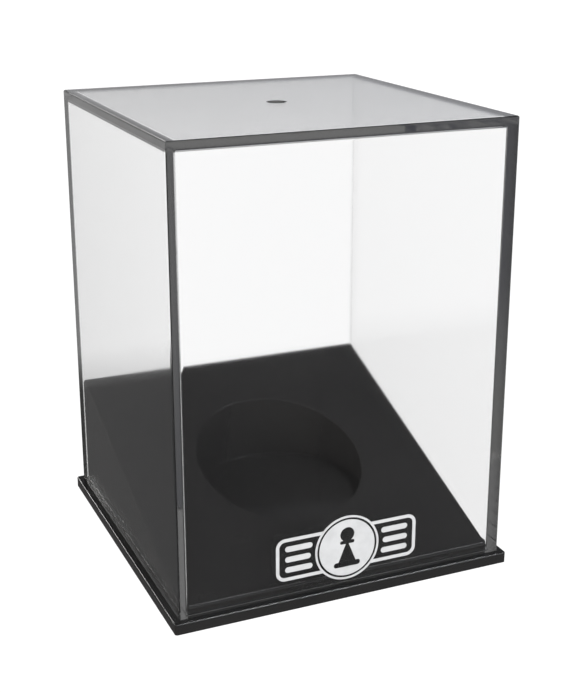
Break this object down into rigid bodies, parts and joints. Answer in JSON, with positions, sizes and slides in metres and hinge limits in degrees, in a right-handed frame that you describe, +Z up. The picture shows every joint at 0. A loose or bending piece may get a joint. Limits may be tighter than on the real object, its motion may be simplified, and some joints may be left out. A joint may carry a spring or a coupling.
{
  "type": "figure display case",
  "caption": "Clear box cover that lifts off a square black base, whose sloped top has a round pocket with a level floor to seat a small collectible figure.",
  "frame": {"origin": "middle of the base's underside, on the surface it stands on", "axes": "+Z up, along the cover's height; -Y out of the front, where the slope is lowest; +X to the right seen from the front"},
  "size_m": [0.083, 0.083, 0.1062],
  "materials": {
    "black_plastic": "satin moulded",
    "clear_plastic": "clear polished",
    "white_ink": "matt ink"
  },
  "bodies": {
    "base": {"base": "black_plastic"},
    "cover": {"cover": "clear_plastic", "front_print": "white_ink"}
  },
  "joints": [
    {"name": "cover_lift", "type": "slide", "parent": "base", "child": "cover", "axis": [0, 0, 1], "range_m": [0, 0.11]}
  ]
}
